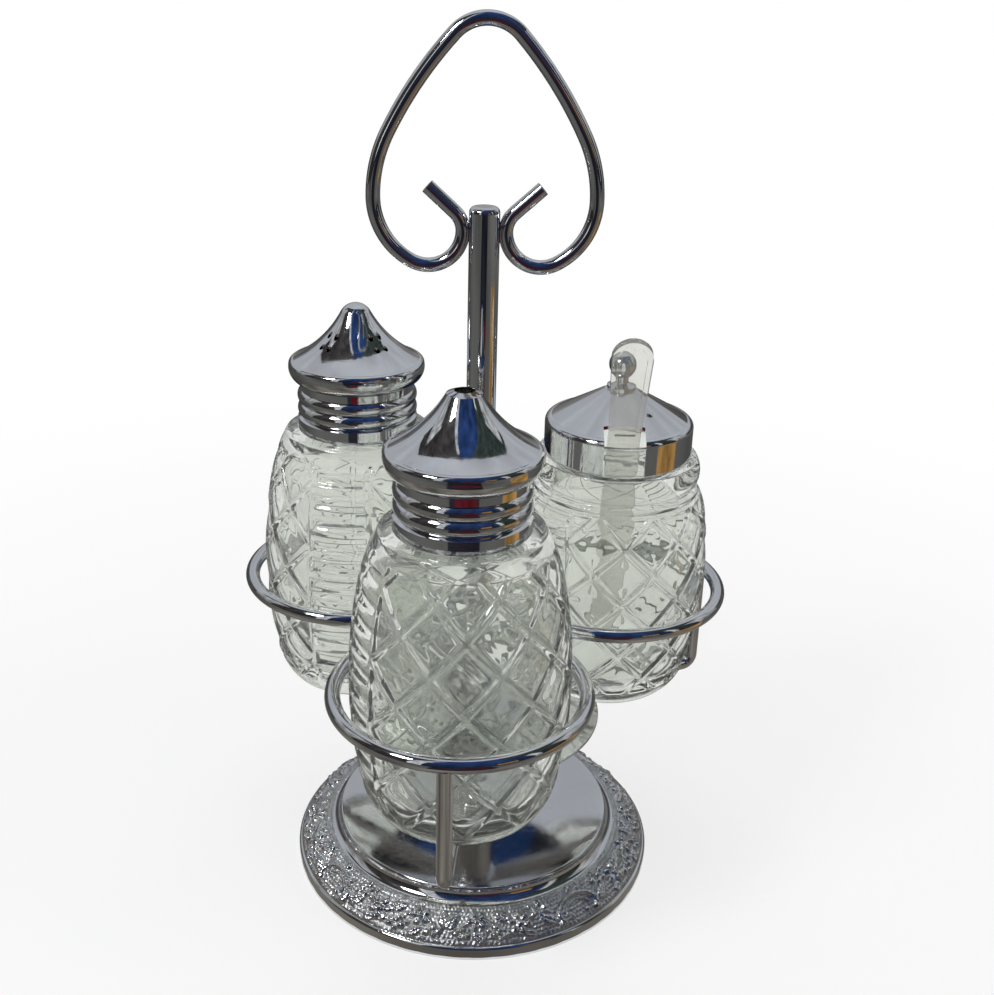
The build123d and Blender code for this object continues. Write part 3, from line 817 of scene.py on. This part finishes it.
def floor_material():
    """A pale floor that glows towards white away from the object, but lights nothing by that."""
    floor = Surface("pale_floor")
    floor.set("Base Color", PALE)
    floor.set("Roughness", 0.9)
    distance = floor.vector_math("LENGTH", "Value", floor.place)
    glowing = floor.ramp(distance, GLOW_START, GLOW_END, NEAR_GLOW, 1.0, "SMOOTHSTEP")
    share = floor.multiply(glowing, floor.seen_directly())
    glow = floor.node("ShaderNodeEmission", {"Color": WHITE})
    shaders = {0: share, 1: floor.shader.outputs[0], 2: glow.outputs[0]}
    floor.finish(floor.node("ShaderNodeMixShader", shaders))
    return floor.material


floor_corners = [(x * FLOOR_HALF, y * FLOOR_HALF, 0) for x, y in ((-1, -1), (1, -1), (1, 1), (-1, 1))]
stage_mesh("floor", floor_corners, [(0, 1, 2, 3)], floor_material())

CARD_DISTANCE = 2.0
NEAR_CARD = 1.9
SKY_DISTANCE = 2.4
CARD_CENTER = 0.1
CARD_STEPS = 12
MAT_STEPS = 48
MOTTLED = 0.5


def card_material(name, lower, upper, mottled):
    """A glow that changes from the lower to the upper colour, uneven by a share of its brightness."""
    material = bpy.data.materials.new(name)
    material.use_nodes = True
    nodes = Nodes(material.node_tree)
    place = nodes.coordinates("Generated")
    height = nodes.node("ShaderNodeSeparateXYZ", {0: place}).outputs["Z"]
    color = nodes.mix(height, opaque(lower), opaque(upper))
    uneven = nodes.noise(place, 5.0, 3.0, 0.5)
    strength = nodes.ramp(uneven, 0.34, 0.66, 1 - mottled, 1 + mottled)
    nodes.finish(nodes.node("ShaderNodeEmission", {"Color": color, "Strength": strength}))
    return material


def mirrored_only(piece):
    """Hides a piece from all rays but those that chrome and glass mirror."""
    piece.visible_camera = False
    piece.visible_diffuse = False
    piece.visible_transmission = False
    piece.visible_shadow = False
    piece.visible_volume_scatter = False


def card(name, azimuth, elevation, lower, upper, distance=CARD_DISTANCE, mottled=MOTTLED):
    """A curved card round the object, its two azimuths and its elevations in degrees.

    elevation is its lower edge, then its upper edge at the first and at the last azimuth."""
    bottom, first_top, last_top = elevation
    row = CARD_STEPS + 1
    vertices, faces = [], []
    for step in range(row):
        around = math.radians(azimuth[0] + (azimuth[1] - azimuth[0]) * step / CARD_STEPS)
        edge = first_top + (last_top - first_top) * step / CARD_STEPS
        for rise in range(row):
            up = math.radians(bottom + (edge - bottom) * rise / CARD_STEPS)
            flat = distance * math.cos(up)
            height = CARD_CENTER + distance * math.sin(up)
            vertices.append((flat * math.cos(around), flat * math.sin(around), height))
    for step in range(CARD_STEPS):
        for corner in range(step * row, step * row + CARD_STEPS):
            faces.append((corner, corner + 1, corner + row + 1, corner + row))
    mirrored_only(stage_mesh(name, vertices, faces, card_material(name, lower, upper, mottled)))


def mat_card(name, azimuth, inner, outer, height, color):
    """A flat sector on the floor round the object."""
    vertices = []
    for step in range(MAT_STEPS + 1):
        around = math.radians(azimuth[0] + (azimuth[1] - azimuth[0]) * step / MAT_STEPS)
        for radius in (inner, outer):
            vertices.append((radius * math.cos(around), radius * math.sin(around), height))
    corners = range(0, 2 * MAT_STEPS, 2)
    faces = [(corner, corner + 1, corner + 3, corner + 2) for corner in corners]
    mirrored_only(stage_mesh(name, vertices, faces, card_material(name, color, color, MOTTLED)))


# the dark and grey cards: name, azimuths, elevations, and the colours of the lower and upper edge
CARDS = (
    ("card_front", (-118, -32), (-3, 87, 84), (0.014, 0.017, 0.027), (0.02, 0.05, 0.16)),
    ("card_front_right", (-32, 0), (-3, 84, 75), (0.02, 0.024, 0.022), (0.04, 0.055, 0.05)),
    ("card_right", (0, 28), (-3, 42, 42), (0.20, 0.20, 0.19), (0.50, 0.51, 0.52)),
    ("card_right_high", (0, 17), (32, 75, 62), (0.02, 0.03, 0.026), (0.04, 0.055, 0.05)),
    ("card_right_end", (17, 32), (32, 62, 48), (0.02, 0.03, 0.026), (0.04, 0.055, 0.05)),
    ("card_back_right", (28, 70), (-3, 14, 14), (0.03, 0.03, 0.03), (0.12, 0.12, 0.12)),
    ("card_back", (70, 112), (-3, 16, 16), (0.12, 0.12, 0.11), (0.32, 0.32, 0.32)),
    ("card_back_left", (112, 158), (-3, 14, 14), (0.03, 0.03, 0.03), (0.14, 0.14, 0.15)),
    ("card_left", (158, 182), (-3, 46, 46), (0.18, 0.18, 0.17), (0.46, 0.47, 0.48)),
    ("card_left_end", (148, 163), (32, 48, 62), (0.03, 0.027, 0.025), (0.05, 0.045, 0.045)),
    ("card_left_high", (163, 182), (40, 62, 75), (0.03, 0.027, 0.025), (0.05, 0.045, 0.045)),
    ("card_left_low", (182, 212), (-3, 75, 84), (0.025, 0.022, 0.02), (0.06, 0.055, 0.055)),
    ("card_front_left", (212, 242), (-3, 84, 87), (0.02, 0.018, 0.018), (0.05, 0.045, 0.045)),
)
# the coloured and bright cards in front of them
NEAR_CARDS = (
    ("card_red", (-88, -70), (3, 12, 12), (0.07, 0.008, 0.012), (0.1, 0.01, 0.02)),
    ("card_ochre", (-60, -44), (3, 18, 18), (0.22, 0.12, 0.045), (0.34, 0.2, 0.08)),
    ("card_bright_left", (-128, -117), (2, 80, 80), (0.7, 0.71, 0.73), (0.5, 0.52, 0.56)),
    ("card_bright_right", (-30, -24), (0, 40, 40), (0.45, 0.46, 0.46), (0.7, 0.7, 0.7)),
)
# the mats on the floor: name, azimuths, inner and outer radius, height and colour
MATS = (
    ("card_floor_near", (0, 360), (0.0463, 0.2), 0.0006, (0.17, 0.155, 0.135)),
    ("card_floor", (0, 360), (0.2, 2.2), 0.0006, (0.105, 0.105, 0.1)),
    ("card_floor_front", (-109, -66), (0.2, 2.2), 0.0009, (0.016, 0.018, 0.024)),
    ("card_floor_red", (-101, -68), (0.3, 0.5), 0.0012, (0.1, 0.01, 0.016)),
    ("card_floor_ochre", (-27, 4), (0.2, 0.6), 0.0009, (0.34, 0.19, 0.06)),
    ("card_floor_dark", (48, 132), (0.055, 0.3), 0.0009, (0.012, 0.012, 0.014)),
    ("card_floor_blue", (74, 106), (0.055, 0.3), 0.0012, (0.008, 0.03, 0.1)),
)
for row in CARDS:
    card(*row)
for row in NEAR_CARDS:
    card(*row, NEAR_CARD)
card("card_sky", (0, 360), (10, 90, 90), (0.42, 0.44, 0.47), (0.50, 0.52, 0.56), SKY_DISTANCE, mottled=0.12)
for name, azimuth, (inner, outer), height, color in MATS:
    mat_card(name, azimuth, inner, outer, height, color)

LAMP_TARGET = Vector((0, 0, 0.08))


def lamp(name, place, size, power, mirrored):
    """A square lamp that faces the object, with or without a reflection of its own."""
    light = bpy.data.lights.new(name, "AREA")
    light.shape = "RECTANGLE"
    light.size = size
    light.size_y = size
    light.energy = power
    made = placed(name, light)
    made.location = place
    made.rotation_euler = (LAMP_TARGET - Vector(place)).to_track_quat("-Z", "Y").to_euler()
    made.visible_glossy = mirrored


lamp("key_softbox", (-0.55, -0.45, 0.75), size=0.2, power=3.4, mirrored=True)
lamp("fill_softbox", (0.75, -0.25, 0.55), size=0.3, power=1.6, mirrored=False)
lamp("top_softbox", (0.0, 0.25, 1.0), size=0.7, power=3.0, mirrored=False)

# The world is white where it is seen directly, and dimmer as a light on the object.
WORLD_LIGHT = 0.35
world = bpy.data.worlds.new("studio")
bpy.context.scene.world = world
world.use_nodes = True
sky = Nodes(world.node_tree)
background = sky.tree.nodes["Background"]
sky.plug(WHITE, background.inputs["Color"])
sky.plug(sky.ramp(sky.seen_directly(), 0.0, 1.0, WORLD_LIGHT, 1.0), background.inputs["Strength"])
bpy.context.scene.view_settings.view_transform = "Standard"
